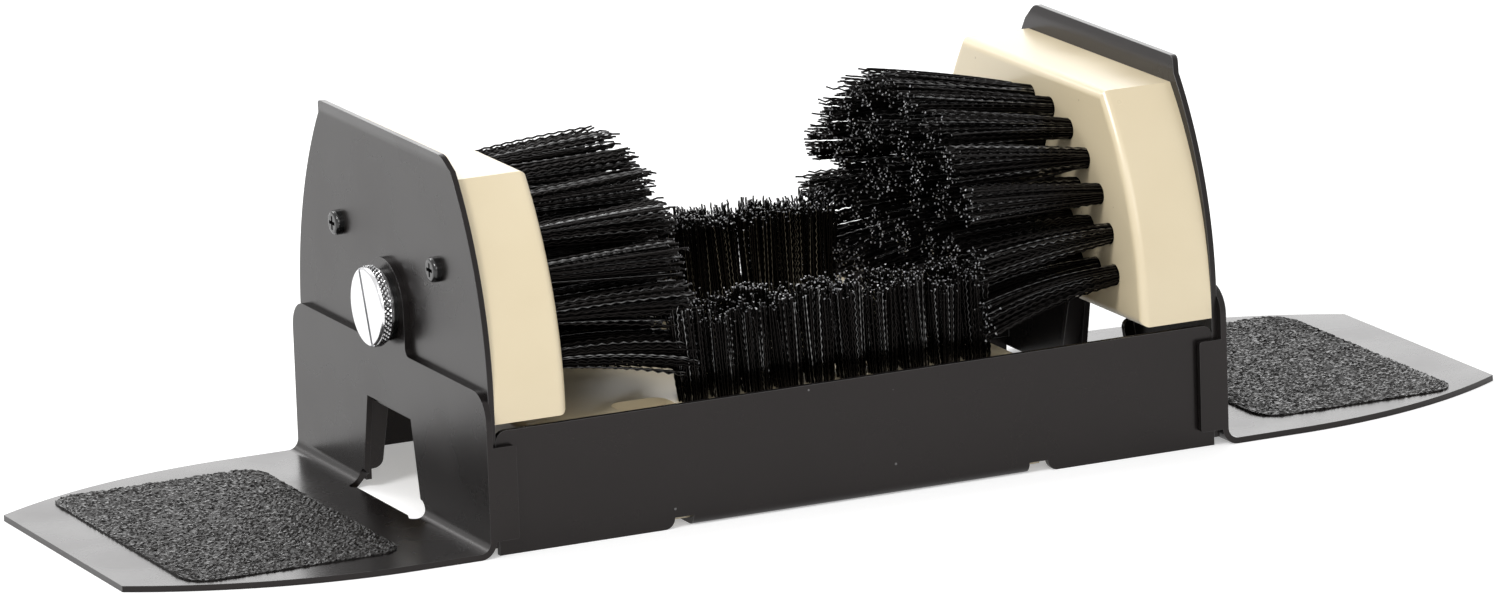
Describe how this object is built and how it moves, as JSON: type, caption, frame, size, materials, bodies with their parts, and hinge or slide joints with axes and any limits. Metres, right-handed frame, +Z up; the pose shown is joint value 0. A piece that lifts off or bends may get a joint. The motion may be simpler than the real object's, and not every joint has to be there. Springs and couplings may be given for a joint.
{
  "type": "boot scrubber",
  "caption": "Boot scrubber: low steel cradle with facing side brushes and a brush for the sole, and gritted foot plates thumb-screwed to its ends to stand on.",
  "frame": {"origin": "centre of the footprint, on the ground", "axes": "+X along the cradle towards one foot plate, +Y across it along the boot's path, +Z up"},
  "size_m": [0.482, 0.1528, 0.1224],
  "materials": {
    "black_steel": "satin black powder coat",
    "cream_block": "smooth cream block with soft edges",
    "bristle": "crimped black plastic bristle",
    "anchor_wire": "flat wire",
    "black_screw": "black oxide",
    "zinc_nut": "zinc plated",
    "bright_screw": "bright plated",
    "grit_tape": "coarse grit grip tape"
  },
  "bodies": {
    "frame": {"base_channel": "black_steel", "left_end_plate": "black_steel", "left_side_block": "cream_block", "left_outer_side_tufts": "bristle", "left_second_side_tufts": "bristle", "left_third_side_tufts": "bristle", "left_inner_side_tufts": "bristle", "left_tuft_anchors": "anchor_wire", "left_side_block_screws": "black_screw", "left_weld_nut": "zinc_nut", "right_end_plate": "black_steel", "right_side_block": "cream_block", "right_outer_side_tufts": "bristle", "right_second_side_tufts": "bristle", "right_third_side_tufts": "bristle", "right_inner_side_tufts": "bristle", "right_tuft_anchors": "anchor_wire", "right_side_block_screws": "black_screw", "right_weld_nut": "zinc_nut", "bottom_block": "cream_block", "bottom_front_outer_tufts": "bristle", "bottom_front_inner_tufts": "bristle", "bottom_rear_inner_tufts": "bristle", "bottom_rear_outer_tufts": "bristle", "bottom_tuft_anchors": "anchor_wire", "bottom_block_screws": "black_screw"},
    "left_foot": {"left_foot_bracket": "black_steel", "left_grip_tape": "grit_tape"},
    "left_collar_ring": {"left_collar": "black_screw"},
    "left_screw": {"left_thumb_screw": "bright_screw"},
    "right_foot": {"right_foot_bracket": "black_steel", "right_grip_tape": "grit_tape"},
    "right_collar_ring": {"right_collar": "black_screw"},
    "right_screw": {"right_thumb_screw": "bright_screw"}
  },
  "joints": [
    {"name": "left_bracket_lift_off", "type": "slide", "parent": "frame", "child": "left_foot", "axis": [-1, 0, 0], "range_m": [0, 0.03]},
    {"name": "left_screw_back_out", "type": "slide", "parent": "left_foot", "child": "left_collar_ring", "axis": [-1, 0, 0], "range_m": [0, 0.0095]},
    {"name": "left_screw_turn", "type": "hinge", "parent": "left_collar_ring", "child": "left_screw", "pos_m": [-0.1308, 0, 0.0654], "axis": [-1, 0, 0], "range_deg": [0, 2736]},
    {"name": "right_bracket_lift_off", "type": "slide", "parent": "frame", "child": "right_foot", "axis": [1, 0, 0], "range_m": [0, 0.03]},
    {"name": "right_screw_back_out", "type": "slide", "parent": "right_foot", "child": "right_collar_ring", "axis": [1, 0, 0], "range_m": [0, 0.0095]},
    {"name": "right_screw_turn", "type": "hinge", "parent": "right_collar_ring", "child": "right_screw", "pos_m": [0.1308, 0, 0.0654], "axis": [1, 0, 0], "range_deg": [0, 2736]}
  ],
  "couplings": [
    {"joint": "left_screw_back_out", "follows": "left_screw_turn", "m_per_rad": 0.00019894},
    {"joint": "right_screw_back_out", "follows": "right_screw_turn", "m_per_rad": 0.00019894}
  ]
}
